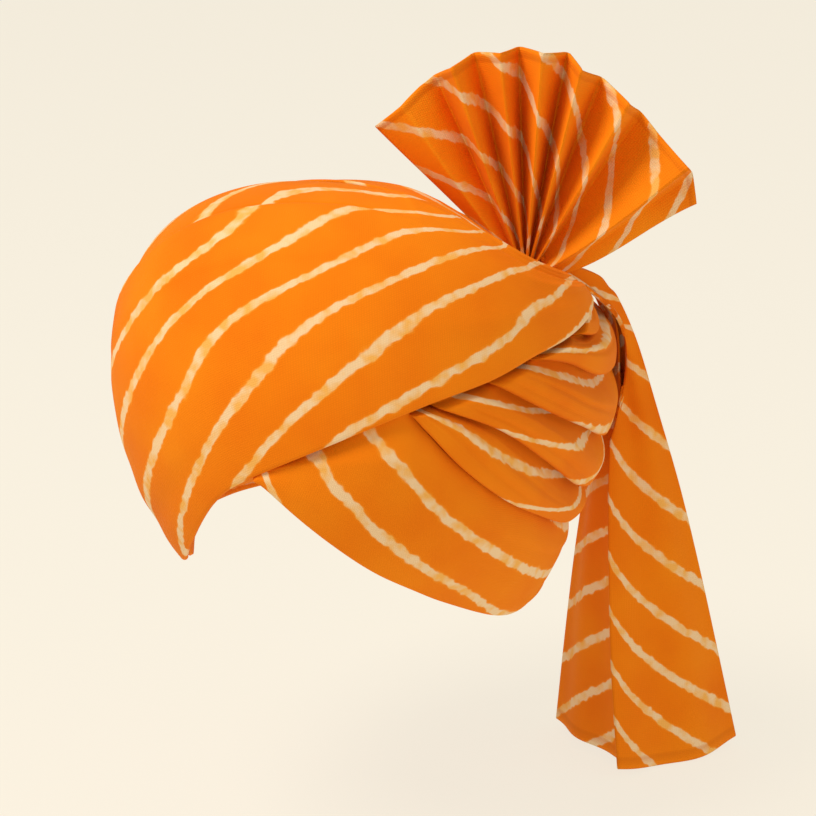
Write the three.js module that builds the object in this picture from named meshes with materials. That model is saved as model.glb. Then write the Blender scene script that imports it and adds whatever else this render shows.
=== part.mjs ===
// A tied turban: one long cotton cloth wound round the head, its two ends let out
// at the rear left, one pleated into a standing fan and one hanging as a tail.
// Millimetres, degrees, +Z up, the wearer's face towards -Y and left ear towards +X.
// The origin is the inside of the crown, straight above the middle of the head.
// A place on the winding is an azimuth, 0 at the face and 90 at the left ear, and a
// latitude, both seen from the middle of the head.
import * as THREE from 'three';

// The hollow that the head fills
const HEAD_BREADTH = 158;
const HEAD_LENGTH = 198;
const CROWN_RISE = 70;
const HEAD_TAPER = 170;
const HEAD_TILT = 14;

// The wound form round the hollow
const SIDE_WALL = 32;
const FRONT_WALL = 33;
const BACK_WALL = 29;
const CROWN_WALL = 12;
const SKIRT_REACH = 136;
const WINDING_TILT = 25;
const WINDING_LEAN = 5;
const PLAN_FULLNESS = 2.1;
const CROWN_FULLNESS = 2.45;
const SKIRT_FULLNESS = 1.97;
const REAR_FULLNESS = 4;
const TUCK_DEPTH = 13;
const LOBE_FULLNESS = 9;

// Places where the winding swells or sinks, and how far from them in degrees
const REAR = { azimuth: -165, latitude: 48, reach: 60 };
const TUCK = { azimuth: 122, latitude: 42, reach: 40 };
const EAR_LOBE = { azimuth: 100, latitude: -54, reach: 34 };

// The outer wraps
const WRAP_DEPTH = 7;
const FOLD_DEPTH = 5;
const FOLD_ROUNDNESS = 0.7;
const EDGE_ROLL = 2;
const EDGE_SHARE = 0.06;
const RELIEF = 10;
const CROWN_STEP = 1.5;
const BED_CLEARANCE = 1.3;
const BROAD_CLEARANCE = 2.7;
const FOLD_TUCK = 0.004;
const WRAP_STEPS = 46;
const FOLD_STEPS = 24;
const EAR_FRONT_STEPS = 10;
const FOLD_ACROSS = 5;
const SEAM_CLEARANCE = 0.6;

// The pleated fan, in a plane that faces FAN_FACING
const FAN_FACING = 32;
const FAN_REACH = 110;
const PLEAT_DEPTH = 24;
const FAN_CLOTH = 3;
const FAN_SEAT = 0.4;
const FAN_SINK = 8.5;

// The hanging tail
const TAIL_DROP = 268;
const TAIL_SPREAD = 100;
const TAIL_CLOTH = 2;
const TAIL_SEAT = 0.9;
const TAIL_TUCK = 3;
const TAIL_STEPS = 22;

// Where the cloth ends leave the winding
const ROOT = { azimuth: 113, latitude: 36.5 };

const CLOTH = { color: 0xe8790f, roughness: 0.85, metalness: 0 };
const radians = THREE.MathUtils.degToRad;

function direction(azimuth, latitude) {
  const level = Math.cos(radians(latitude));
  const turn = radians(azimuth);
  return new THREE.Vector3(Math.sin(turn) * level, -Math.cos(turn) * level, Math.sin(radians(latitude)));
}

// A direction seen from a form whose front is raised by tilt and left side by lean
function tilted(way, tilt, lean) {
  const form = way.clone().applyAxisAngle(new THREE.Vector3(0, 1, 0), radians(lean));
  return form.applyAxisAngle(new THREE.Vector3(1, 0, 0), radians(tilt));
}

function hollowRadius(way) {
  const q = tilted(way, HEAD_TILT, 0);
  const rise = q.z >= 0 ? CROWN_RISE : HEAD_TAPER;
  return 1 / Math.hypot(q.x / (HEAD_BREADTH / 2), q.y / (HEAD_LENGTH / 2), q.z / rise);
}

function formRadius(way) {
  const q = tilted(way, WINDING_TILT, WINDING_LEAN);
  const length = HEAD_LENGTH / 2 + (q.y < 0 ? FRONT_WALL : BACK_WALL);
  const breadth = HEAD_BREADTH / 2 + SIDE_WALL;
  const plan = (Math.abs(q.x / breadth) ** PLAN_FULLNESS
    + Math.abs(q.y / length) ** PLAN_FULLNESS) ** (1 / PLAN_FULLNESS);
  const rise = q.z >= 0 ? CROWN_RISE + CROWN_WALL : SKIRT_REACH;
  const fullness = q.z >= 0 ? CROWN_FULLNESS : SKIRT_FULLNESS;
  return (plan ** fullness + Math.abs(q.z / rise) ** fullness) ** (-1 / fullness);
}

// A smooth hump of height 1 round a direction, gone at its reach in degrees
function hump(way, { azimuth, latitude, reach }) {
  const share = THREE.MathUtils.radToDeg(way.angleTo(direction(azimuth, latitude))) / reach;
  return share < 1 ? (1 - share * share) ** 2 : 0;
}

// The winding with its full rear and the hollow that the cloth ends rise from
function windingRadius(way) {
  return formRadius(way) + REAR_FULLNESS * hump(way, REAR) - TUCK_DEPTH * hump(way, TUCK);
}

const bedRadius = (way) => windingRadius(way) - WRAP_DEPTH;

// A smooth value between the rows of a table, at a place from 0 to 1
function alongTable(values, place) {
  const last = values.length - 1;
  const step = Math.min(Math.floor(place * last), last - 1);
  const t = place * last - step;
  const [a, b, c, d] = [step - 1, step, step + 1, step + 2].map(
    (n) => values[THREE.MathUtils.clamp(n, 0, last)]);
  return b + 0.5 * t * (c - a + t * (2 * a - 5 * b + 4 * c - d + t * (3 * (b - c) + d - a)));
}

// A direction on a curve whose rows are azimuth and latitude
function onCurve(ways, place) {
  const axis = (name) => alongTable(ways.map((way) => way[name]), place);
  return new THREE.Vector3(axis('x'), axis('y'), axis('z')).normalize();
}

function between(low, high, share) {
  const angle = low.angleTo(high);
  if (angle < 1e-6) return low.clone();
  const blend = low.clone().multiplyScalar(Math.sin((1 - share) * angle));
  return blend.addScaledVector(high, Math.sin(share * angle)).divideScalar(Math.sin(angle));
}

// A closed solid from two grids of points, front over back, with its four edges walled
function slab(front, back) {
  const rows = front.length;
  const columns = front[0].length;
  const points = [...front.flat(), ...back.flat()];
  const index = [];
  const at = (side, i, j) => side * rows * columns + i * columns + j;
  const quad = (a, b, c, d) => index.push(a, b, c, a, c, d);
  for (let i = 0; i < rows - 1; i += 1) {
    for (let j = 0; j < columns - 1; j += 1) {
      quad(at(0, i, j), at(0, i + 1, j), at(0, i + 1, j + 1), at(0, i, j + 1));
      quad(at(1, i, j), at(1, i, j + 1), at(1, i + 1, j + 1), at(1, i + 1, j));
    }
    quad(at(0, i, 0), at(1, i, 0), at(1, i + 1, 0), at(0, i + 1, 0));
    const last = columns - 1;
    quad(at(0, i, last), at(0, i + 1, last), at(1, i + 1, last), at(1, i, last));
  }
  for (let j = 0; j < columns - 1; j += 1) {
    quad(at(0, 0, j), at(0, 0, j + 1), at(1, 0, j + 1), at(1, 0, j));
    quad(at(0, rows - 1, j), at(1, rows - 1, j), at(1, rows - 1, j + 1), at(0, rows - 1, j + 1));
  }
  return closed(points, index);
}

function closed(points, index) {
  const geometry = new THREE.BufferGeometry();
  geometry.setAttribute('position', new THREE.Float32BufferAttribute(points.flatMap((p) => p.toArray()), 3));
  geometry.setIndex(index);
  geometry.computeVertexNormals();
  return geometry;
}

// The curve through a table of azimuths and latitudes, as a direction at a place from 0 to 1
function curve(rows) {
  const ways = rows.map(([azimuth, latitude]) => direction(azimuth, latitude));
  return (place) => onCurve(ways, place);
}

// Places along a wrap or fold, a little in from its two ends
function places(steps) {
  return Array.from({ length: steps + 1 }, (_, n) => FOLD_TUCK + (1 - 2 * FOLD_TUCK) * (n / steps));
}

// The front wrap, a broad band from behind the right ear, over the brow and crown, to
// the tuck at the rear left. Lifts are shares of RELIEF.
const FRONT_COLUMNS = ['lowAzimuth', 'lowLatitude', 'highAzimuth', 'highLatitude',
  'lowLift', 'midLift', 'highLift'];
const FRONT_SECTIONS = [
  [-145, -42, -144, -37, -0.1, 0.0, -0.1],
  [-136, -43, -137, -26, -0.1, 0.0, 0.0],
  [-118, -44, -128, -10, -0.1, 0.0, 0.0],
  [-95, -44, -118, 4, -0.1, 0.0, 0.0],
  [-72, -43, -108, 19, -0.2, 0.0, 0.0],
  [-50, -40.5, -99, 33, -0.2, -0.1, 0.0],
  [-30, -38, -90, 46, -0.25, 0.0, 0.0],
  [-12, -26, -78, 56, -0.2, 0.1, 0.0],
  [0, -13, -64, 66, 0.0, 0.2, 0.2],
  [10, -6, -40, 74, 0.0, 0.2, 0.2],
  [26, 2, 10, 75, 0.0, 0.1, 0.1],
  [44, 8.5, 46, 67, 0.0, 0.0, 0.0],
  [61, 12, 66, 59, 0.0, 0.0, -0.1],
  [75, 15, 78, 51, 0.0, 0.0, -0.2],
  [87, 16, 84, 44, 0.0, 0.0, 0.0],
  [98, 17, 92, 38, 0.0, 0.1, 0.0],
  [107, 18.5, 101, 33, 0.0, 0.1, 0.0],
  [115.5, 22, 109.5, 27, -0.1, 0.0, -0.1],
];

// The seams behind the front wrap as azimuth and latitude, each from its front edge on
// the left round the back of the head to its rear edge on the right
const SEAMS = {
  crown: [[110, 28], [103, 34], [94, 39], [86, 45], [78, 52], [64, 60], [44, 69], [6, 77], [-44, 76],
    [-69, 67], [-82, 56], [-93, 45], [-102, 32], [-112, 17]],
  fold1: [[117.5, 21], [123, 22.2], [130, 26], [139, 31], [154, 35.5], [172, 37], [-170, 36],
    [-152, 31.5], [-134, 24], [-119, 10]],
  fold2: [[99, 15], [111, 12], [128, 15], [148, 20], [168, 22], [-172, 20], [-154, 15], [-139, 7],
    [-126, -1]],
  fold3: [[76, 14.3], [90, 10], [108, 2], [130, 0], [155, 4], [178, 6], [-162, 2], [-144, -5], [-131, -11]],
  fold4: [[61, 11.4], [79, 1], [97, -8], [118, -16], [142, -14], [168, -10], [-168, -11], [-148, -15],
    [-135, -19]],
  fold5: [[46, 8], [63, 0], [80, -12], [100, -24], [125, -29], [155, -26], [180, -24], [-156, -24],
    [-139, -26]],
  ear: [[11, -6.8], [18, -2.1], [26, 1.5], [34, 4.9], [40, 6.9], [44, 3.2], [53, -7], [66, -18],
    [82, -27], [100, -34], [120, -37], [145, -36], [170, -34], [-160, -33], [-143.5, -33]],
};
// The row of the ear seam where it leaves the front wrap and the folds begin
const EAR_CORNER = 4;
const EAR_RIM = [[10.5, -7.8], [13, -9.5], [18, -14.3], [25, -21], [33, -28.3], [43, -35.7],
  [55, -43.7], [68, -49.3], [80, -52.8], [93, -54.8], [108, -54.5], [124, -53], [145, -48], [170, -42],
  [-165, -41], [-149, -42]];

// The rim of the inner winding, a little above the rim of the outer wraps, and below
// it only at the right temple, where this layer shows
const RIM = [[9, -4], [13, -6], [24, -17], [36, -29], [55, -42], [68, -48], [93, -54], [120, -51], [150, -44],
  [180, -39], [-150, -40], [-120, -42], [-90, -42], [-75, -41], [-60, -40], [-48, -41], [-36, -41],
  [-28, -39], [-22, -35], [-15, -27], [-5, -14], [3, -7.5]];

function named(rows, columns) {
  return rows.map((row) => Object.fromEntries(columns.map((column, n) => [column, row[n]])));
}

// A wrap between its low and its high seam, with half the clearance to its neighbour
// taken off each edge. surface gives the radius for a direction, a place and a share.
function bandSolid({ low, high, at, shares, surface, bed = BED_CLEARANCE }) {
  const front = [];
  const back = [];
  for (const place of at) {
    const start = low(place);
    const end = high(place);
    const width = start.angleTo(end) * formRadius(between(start, end, 0.5));
    const trim = Math.min(SEAM_CLEARANCE / 2 / width, 0.3);
    const ways = shares.map((share) => between(start, end, trim + (1 - 2 * trim) * share));
    front.push(ways.map((way, n) => way.clone().multiplyScalar(surface(way, place, shares[n]))));
    back.push(ways.map((way) => way.clone().multiplyScalar(bedRadius(way) + bed)));
  }
  return slab(front, back);
}

const evenShares = (count) => Array.from({ length: count + 1 }, (_, n) => n / count);
const WRAP_SHARES = [0, 0.06, 0.18, 0.32, 0.46, 0.6, 0.74, 0.88, 0.96, 1];

// A flat wrap whose two edges are rolled under
function rolledEdge(share) {
  const rim = Math.min(share, 1 - share) / EDGE_SHARE;
  return rim < 1 ? -EDGE_ROLL * (1 - rim) ** 2 : 0;
}

function frontWrap() {
  const rows = named(FRONT_SECTIONS, FRONT_COLUMNS);
  const column = (name) => rows.map((row) => row[name]);
  const lift = (name, place) => RELIEF * alongTable(column(name), place);
  const surface = (way, place, share) => {
    const low = lift('lowLift', place);
    const middle = lift('midLift', place);
    const high = lift('highLift', place);
    const bend = low * (1 - share) * (1 - 2 * share) + 4 * middle * share * (1 - share)
      + high * share * (2 * share - 1);
    return formRadius(way) + bend + rolledEdge(share);
  };
  return bandSolid({
    low: curve(rows.map((row) => [row.lowAzimuth, row.lowLatitude])),
    high: curve(rows.map((row) => [row.highAzimuth, row.highLatitude])),
    at: evenShares(WRAP_STEPS), shares: WRAP_SHARES, surface, bed: BROAD_CLEARANCE,
  });
}

function crownWrap() {
  return bandSolid({
    low: curve(SEAMS.fold1), high: curve(SEAMS.crown), at: places(FOLD_STEPS), shares: evenShares(8),
    surface: (way, place, share) => windingRadius(way) - CROWN_STEP + rolledEdge(share),
  });
}

// One gathered fold: a soft roll between the seam above it and the seam below
function sideFold(upper, lower) {
  return bandSolid({
    low: lower, high: upper, at: places(FOLD_STEPS), shares: evenShares(FOLD_ACROSS),
    surface: (way, place, share) => windingRadius(way)
      - FOLD_DEPTH * (1 - Math.sin(Math.PI * share) ** FOLD_ROUNDNESS),
  });
}

// The ear seam from where the folds begin, as the lowest fold follows it
const EAR_START = EAR_CORNER / (SEAMS.ear.length - 1);
const earPlace = (place) => EAR_START + (1 - EAR_START) * place;
const lowestSeam = (place) => curve(SEAMS.ear)(earPlace(place));

// The wrap over the left ear, fullest at its lobe behind the ear
function earWrap() {
  const ahead = evenShares(EAR_FRONT_STEPS).slice(0, -1);
  return bandSolid({
    low: curve(EAR_RIM), high: curve(SEAMS.ear), shares: evenShares(7),
    at: [...ahead.map((share) => 2 * FOLD_TUCK + (EAR_START - 2 * FOLD_TUCK) * share),
      ...places(FOLD_STEPS).map(earPlace)],
    surface: (way, place, share) => windingRadius(way) + rolledEdge(share)
      + LOBE_FULLNESS * hump(way, EAR_LOBE) * (1 - share),
  });
}

// The windings underneath: a thick cap from the hollow out to the outer wraps
function innerWinding() {
  const turns = 2 * RIM.length;
  const rings = 11;
  const rim = curve([...RIM, RIM[0]]);
  const points = [];
  const index = [];
  const quad = (a, b, c, d) => index.push(a, b, c, a, c, d);
  const at = (side, ring, turn) => 2 + (side * rings + ring) * turns + (turn % turns);
  const top = new THREE.Vector3(0, 0, 1);
  points.push(top.clone().multiplyScalar(bedRadius(top)), top.clone().multiplyScalar(hollowRadius(top)));
  for (const radius of [bedRadius, hollowRadius]) {
    for (let ring = 1; ring <= rings; ring += 1) {
      for (let turn = 0; turn < turns; turn += 1) {
        const way = between(top, rim(turn / turns), ring / rings);
        points.push(way.clone().multiplyScalar(radius(way)));
      }
    }
  }
  for (let turn = 0; turn < turns; turn += 1) {
    index.push(0, at(0, 0, turn), at(0, 0, turn + 1), 1, at(1, 0, turn + 1), at(1, 0, turn));
    for (let ring = 0; ring < rings - 1; ring += 1) {
      quad(at(0, ring, turn), at(0, ring + 1, turn), at(0, ring + 1, turn + 1), at(0, ring, turn + 1));
      quad(at(1, ring, turn), at(1, ring, turn + 1), at(1, ring + 1, turn + 1), at(1, ring + 1, turn));
    }
    const hem = rings - 1;
    quad(at(0, hem, turn), at(1, hem, turn), at(1, hem, turn + 1), at(0, hem, turn + 1));
  }
  return closed(points, index);
}

// The three axes of the fan and tail: to the right along the fan, away from the
// side that it faces, and up
const SIDEWAYS = new THREE.Vector3(Math.cos(radians(FAN_FACING)), Math.sin(radians(FAN_FACING)), 0);
const AWAY = new THREE.Vector3(-SIDEWAYS.y, SIDEWAYS.x, 0);
const UP = new THREE.Vector3(0, 0, 1);

function rootPoint(height) {
  const way = direction(ROOT.azimuth, ROOT.latitude);
  return way.multiplyScalar(windingRadius(way) - CROWN_STEP + height);
}

// Fold lines of the fan from its left edge to its right one: the angle from level,
// the reach as a share of FAN_REACH, the depth as a share of PLEAT_DEPTH, and how
// far the line droops towards its root in degrees
const PLEAT_COLUMNS = ['angle', 'reach', 'depth', 'droop'];
const PLEATS = [
  [134, 0.91, 0.1, 2],
  [124, 0.93, -0.4, 0],
  [118, 0.94, 0.1, 0],
  [114, 0.94, 0.5, 0],
  [109, 0.98, -0.5, 0],
  [103, 0.97, 0.5, 0],
  [97, 0.99, -0.4, 0],
  [92, 0.97, 0.5, 0],
  [87, 0.99, -0.5, 0],
  [80, 0.96, 0.5, 0],
  [77, 0.95, -0.5, 0],
  [70, 0.9, 0.5, 0],
  [64, 0.88, -0.5, 0],
  [55, 0.84, 0.5, 2],
  [48, 0.81, -0.5, 4],
  [39, 0.85, 0.5, 8],
  [33, 0.8, -0.3, 12],
  [24, 0.78, 0.2, 20],
];

// Places along a pleat from the winding to its rim
const FAN_SHARES = [0, 0.15, 0.35, 0.6, 0.82, 1];

// Where a pleat's line leaves the winding, as a distance from the fan's focus
function pleatStart(focus, ray) {
  const point = focus.clone();
  for (let out = 0; out < FAN_REACH / 2; out += 0.5) {
    point.copy(focus).addScaledVector(ray, out);
    if (point.length() > windingRadius(point.clone().normalize()) + FAN_SEAT) return out;
  }
  return FAN_REACH / 2;
}

function turraFan() {
  const folds = named(PLEATS, PLEAT_COLUMNS);
  const focus = rootPoint(0).addScaledVector(UP, -FAN_SINK);
  const ray = (fold, share) => {
    const turn = radians(fold.angle - fold.droop * (1 - share) ** 2);
    return SIDEWAYS.clone().multiplyScalar(Math.cos(turn)).addScaledVector(UP, Math.sin(turn));
  };
  const grid = (cloth) => FAN_SHARES.map((share) => folds.map((fold) => {
    const start = pleatStart(focus, ray(fold, 0));
    const out = start + (FAN_REACH * fold.reach - start) * share;
    const depth = PLEAT_DEPTH * fold.depth * (out / FAN_REACH) + cloth;
    return focus.clone().addScaledVector(ray(fold, share), out).addScaledVector(AWAY, depth);
  }));
  return slab(grid(FAN_CLOTH / 2), grid(-FAN_CLOTH / 2));
}

// Sections of the tail from its root to its hem. drop is a share of TAIL_DROP; the
// near free edge, the fold and the far free edge are shares of TAIL_SPREAD, sideways
// from the middle of the head and away from the side that the fan faces.
const TAIL_COLUMNS = ['drop', 'nearOut', 'nearBack', 'foldOut', 'foldBack', 'farOut', 'farBack'];
const TAIL_SECTIONS = [
  [0, 0.84, -0.08, 0.91, -0.04, 0.85, 0.04],
  [0.01, 0.89, -0.06, 0.96, -0.02, 0.9, 0.1],
  [0.03, 0.98, 0.0, 1.05, 0.05, 0.97, 0.2],
  [0.08, 1.08, 0.12, 1.16, 0.12, 1.05, 0.34],
  [0.17, 1.14, 0.28, 1.26, 0.24, 1.1, 0.5],
  [0.3, 1.15, 0.33, 1.37, 0.32, 1.09, 0.62],
  [0.47, 1.14, 0.28, 1.51, 0.4, 1.05, 0.7],
  [0.64, 1.15, 0.25, 1.62, 0.47, 1.0, 0.77],
  [0.81, 1.17, 0.24, 1.71, 0.55, 0.96, 0.83],
  [1, 1.2, 0.24, 1.82, 0.63, 0.92, 0.88],
];

// Places across the tail's cloth: the layer, and the share from its free edge. The last
// layer comes forward again and is tucked behind the near one, TAIL_TUCKED from its edge.
const TAIL_ACROSS = [['near', 0], ['near', 0.3], ['near', 0.6], ['near', 0.88], ['fold', 1],
  ['far', 0.88], ['far', 0.6], ['far', 0.3], ['far', 0], ['last', 0.5], ['last', 1]];
const TAIL_TUCKED = 0.075;
const TAIL_BOW = 0.06;

function tailSection(sections, place) {
  const value = (name) => alongTable(sections.map((row) => row[name]), place);
  const corner = (name) => new THREE.Vector2(value(`${name}Out`), value(`${name}Back`))
    .multiplyScalar(TAIL_SPREAD);
  const fold = corner('fold');
  return TAIL_ACROSS.map(([layer, share]) => {
    if (layer === 'fold') return fold.clone();
    if (layer === 'last') {
      const tucked = corner('near').add(new THREE.Vector2(0, TAIL_TUCKED * TAIL_SPREAD));
      return corner('far').lerp(tucked, share);
    }
    const edge = corner(layer);
    const run = fold.clone().sub(edge);
    const side = layer === 'near' ? 1 : -1;
    const bow = side * TAIL_BOW * 4 * share * (1 - share);
    const outward = new THREE.Vector2(run.y, -run.x).multiplyScalar(bow);
    return edge.addScaledVector(run, share).add(outward);
  });
}

// A point lifted straight out where it would lie nearer the winding than its clearance
function overWinding(point, clearance) {
  const way = point.clone().normalize();
  return way.multiplyScalar(Math.max(point.length(), windingRadius(way) + clearance));
}

function hangingTail() {
  const sections = named(TAIL_SECTIONS, TAIL_COLUMNS);
  const start = rootPoint(0).z - TAIL_TUCK;
  const steps = TAIL_STEPS;
  const front = [];
  const back = [];
  for (let i = 0; i <= steps; i += 1) {
    const place = i / steps;
    const height = start - TAIL_DROP * alongTable(sections.map((row) => row.drop), place);
    const line = tailSection(sections, place);
    const skins = line.map((point, n) => {
      const before = line[Math.max(n - 1, 0)];
      const after = line[Math.min(n + 1, line.length - 1)];
      const run = after.clone().sub(before).normalize();
      return [new THREE.Vector2(run.y, -run.x), point];
    });
    const skin = (offset) => skins.map(([normal, point]) => {
      const moved = point.clone().addScaledVector(normal, offset);
      const place = SIDEWAYS.clone().multiplyScalar(moved.x).addScaledVector(AWAY, moved.y)
        .addScaledVector(UP, height);
      return overWinding(place, TAIL_SEAT + TAIL_CLOTH / 2 + offset);
    });
    front.push(skin(TAIL_CLOTH / 2));
    back.push(skin(-TAIL_CLOTH / 2));
  }
  return slab(front, back);
}

const SHAPES = {
  inner_winding: innerWinding(),
  crown_wrap: crownWrap(),
  front_wrap: frontWrap(),
  ear_wrap: earWrap(),
  side_fold_1: sideFold(curve(SEAMS.fold1), curve(SEAMS.fold2)),
  side_fold_2: sideFold(curve(SEAMS.fold2), curve(SEAMS.fold3)),
  side_fold_3: sideFold(curve(SEAMS.fold3), curve(SEAMS.fold4)),
  side_fold_4: sideFold(curve(SEAMS.fold4), curve(SEAMS.fold5)),
  side_fold_5: sideFold(curve(SEAMS.fold5), lowestSeam),
  turra_fan: turraFan(),
  tail: hangingTail(),
};

const turban = new THREE.Group();
for (const [name, geometry] of Object.entries(SHAPES)) {
  const piece = new THREE.Mesh(geometry, new THREE.MeshStandardMaterial(CLOTH));
  piece.name = name;
  turban.add(piece);
}
turban.position.z = -hollowRadius(UP);

const part = new THREE.Group();
part.add(turban);
export default part;
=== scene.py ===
"""A tied turban: one long orange cotton cloth with cream dyed stripes, wound round an
open head hollow, with a pleated fan and a hanging tail at the rear left."""

import math

import bpy
import numpy as np
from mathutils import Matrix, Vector


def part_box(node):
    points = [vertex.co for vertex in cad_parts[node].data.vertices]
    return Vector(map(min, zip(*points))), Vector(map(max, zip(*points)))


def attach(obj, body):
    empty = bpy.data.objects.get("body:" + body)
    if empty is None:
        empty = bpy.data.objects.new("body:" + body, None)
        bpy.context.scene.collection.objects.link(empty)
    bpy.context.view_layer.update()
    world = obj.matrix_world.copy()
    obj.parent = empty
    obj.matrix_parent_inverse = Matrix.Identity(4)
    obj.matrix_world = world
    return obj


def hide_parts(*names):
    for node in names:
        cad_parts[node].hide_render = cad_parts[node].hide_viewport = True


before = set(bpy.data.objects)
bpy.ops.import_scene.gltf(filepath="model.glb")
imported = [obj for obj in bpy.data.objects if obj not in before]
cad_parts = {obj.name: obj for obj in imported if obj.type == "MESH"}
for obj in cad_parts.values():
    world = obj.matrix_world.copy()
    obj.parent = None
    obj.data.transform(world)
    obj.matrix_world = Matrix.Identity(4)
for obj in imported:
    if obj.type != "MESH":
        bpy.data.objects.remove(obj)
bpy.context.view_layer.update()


# The studio
# A pale cream floor under the tail's hem, soft light all round, and one broad soft
# light from the upper left of the camera, which looks at the turban's front left.
def linear(colour):
    """An sRGB hex colour as linear red, green, blue and alpha."""
    parts = [int(colour[k : k + 2], 16) / 255 for k in (1, 3, 5)]
    return [p / 12.92 if p <= 0.04045 else ((p + 0.055) / 1.055) ** 2.4 for p in parts] + [1]


def add_node(material, kind, settings=None, links=None):
    """Adds a node with its settings, by property or input name, and the links into it."""
    node = material.node_tree.nodes.new(kind)
    for name, value in (settings or {}).items():
        if isinstance(name, int) or name in node.inputs:
            node.inputs[name].default_value = value
        else:
            setattr(node, name, value)
    for name, source in (links or {}).items():
        material.node_tree.links.new(source, node.inputs[name])
    return node


# The photograph's view: 32 degrees round to the wearer's left and 18 degrees up
facing, height = math.radians(32), math.radians(18)
level_part = math.cos(height)
towards = Vector((math.sin(facing) * level_part, -math.cos(facing) * level_part, math.sin(height)))
rightwards = Vector((math.cos(facing), math.sin(facing), 0))
upwards = towards.cross(rightwards)
aim = Vector((0, 0, -0.07105)) + rightwards * 0.0172 - upwards * 0.0198
gaze = towards.to_track_quat("Z", "Y").to_euler()
bpy.ops.object.camera_add(location=aim + towards * 1.5, rotation=gaze)
camera = bpy.context.object
camera.data.lens = 140.8
bpy.context.scene.camera = camera
bpy.context.scene.view_settings.view_transform = "Standard"

surroundings = bpy.data.worlds.new("cream surroundings")
surroundings.use_nodes = True
glow = surroundings.node_tree.nodes["Background"]
glow.inputs["Color"].default_value = linear("#FFF4E4")
glow.inputs["Strength"].default_value = 0.5
bpy.context.scene.world = surroundings

for name, away, size, power in (
    ("key light", towards * 1.1 - rightwards * 1.0 + upwards * 1.5, 0.9, 34),
    ("fill light", towards * 1.2 + rightwards * 1.6 + upwards * 0.2, 1.6, 6),
):
    place = aim + away
    turn = away.to_track_quat("Z", "Y").to_euler()
    bpy.ops.object.light_add(type="AREA", radius=1, location=place, rotation=turn)
    light = bpy.context.object
    light.name = name
    light.data.size = size
    light.data.energy = power
    light.data.color = linear("#FFF6EA")[:3]

# The floor lies just clear of the lowest point of the hem.
bpy.ops.mesh.primitive_plane_add(size=60, location=(0, 0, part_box("tail")[0][2] - 0.005))
floor = bpy.context.object
floor.name = "floor"
paper = bpy.data.materials.new("cream paper floor")
paper.use_nodes = True
sweep = paper.node_tree.nodes["Principled BSDF"]
sweep.inputs["Base Color"].default_value = linear("#6A675E")
sweep.inputs["Roughness"].default_value = 1
sweep.inputs["Specular IOR Level"].default_value = 0
sweep.inputs["Emission Color"].default_value = linear("#F8F1E2")
sweep.inputs["Emission Strength"].default_value = 0.86
floor.data.materials.append(paper)


# The inner winding
# The hidden turns of the cloth under the outer wraps, seen from below as the lining of
# the head hollow. They are wound flat over each other, and their rim is turned out.
def direction(azimuth, latitude):
    """A way out from the middle of the head: azimuth 0 at the face, 90 at the left ear."""
    turn, rise = np.radians(azimuth), np.radians(latitude)
    return np.stack([np.sin(turn) * np.cos(rise), -np.cos(turn) * np.cos(rise), np.sin(rise)], -1)


def tilted(way, tilt, lean):
    """A way seen from a form whose front is raised by tilt and left side by lean."""
    x, y, z = np.moveaxis(way, -1, 0)
    c, s = math.cos(math.radians(lean)), math.sin(math.radians(lean))
    x, z = x * c + z * s, z * c - x * s
    c, s = math.cos(math.radians(tilt)), math.sin(math.radians(tilt))
    return x, y * c - z * s, y * s + z * c


def hollow_radius(way):
    """The head hollow, 158 mm broad, 198 mm long and 70 mm high over its middle."""
    x, y, z = tilted(way, 14, 0)
    return 1 / np.sqrt((x / 79) ** 2 + (y / 99) ** 2 + (z / np.where(z >= 0, 70, 170)) ** 2)


def form_radius(way):
    """The wound form: 111 mm to each side, 132 to the front, 128 to the back, 82 up."""
    x, y, z = tilted(way, 25, 5)
    plan = (np.abs(x / 111) ** 2.1 + np.abs(y / np.where(y < 0, 132, 128)) ** 2.1) ** (1 / 2.1)
    full = np.where(z >= 0, 2.45, 1.97)
    return (plan**full + np.abs(z / np.where(z >= 0, 82, 136)) ** full) ** (-1 / full)


def hump(way, azimuth, latitude, reach):
    """A smooth hump of height 1 round a way, gone at its reach in degrees."""
    share = np.degrees(np.arccos(np.clip(way @ direction(azimuth, latitude), -1, 1))) / reach
    return np.where(share < 1, (1 - share**2) ** 2, 0)


def winding_radius(way):
    """The winding, full at the rear and sunk where the two ends of the cloth come out."""
    return form_radius(way) + 4 * hump(way, -165, 48, 60) - 13 * hump(way, 122, 42, 40)


def along_table(rows, place):
    """A smooth row between the rows of a table, at places from 0 to 1."""
    rows = np.asarray(rows, float)
    last = len(rows) - 1
    spot = np.asarray(place, float) * last
    step = np.clip(np.floor(spot).astype(int), 0, last - 1)
    t = (spot - step)[..., None]
    a, b, c, d = [rows[np.clip(step + k, 0, last)] for k in (-1, 0, 1, 2)]
    return b + 0.5 * t * (c - a + t * (2 * a - 5 * b + 4 * c - d + t * (3 * (b - c) + d - a)))


def on_curve(rows, place):
    """A way on the curve through rows of azimuth and latitude."""
    rows = np.array(rows, float)
    way = along_table(direction(rows[:, 0], rows[:, 1]), place)
    return way / np.linalg.norm(way, axis=-1, keepdims=True)


def between(low, high, share):
    """The way at a share of the arc from one way to another."""
    angle = np.arccos(np.clip((low * high).sum(-1), -1, 1))[..., None]
    share = share[..., None]
    return (low * np.sin((1 - share) * angle) + high * np.sin(share * angle)) / np.sin(angle)


def smooth_step(value, start, end):
    """0 up to the start, 1 from the end on, and a smooth rise between them."""
    t = np.clip((value - start) / (end - start), 0, 1)
    return t * t * (3 - 2 * t)


# One millimetre in metres, and how many the middle of the head lies below the origin
MILLIMETRE = 0.001
HEAD_MIDDLE = 71.047


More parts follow.
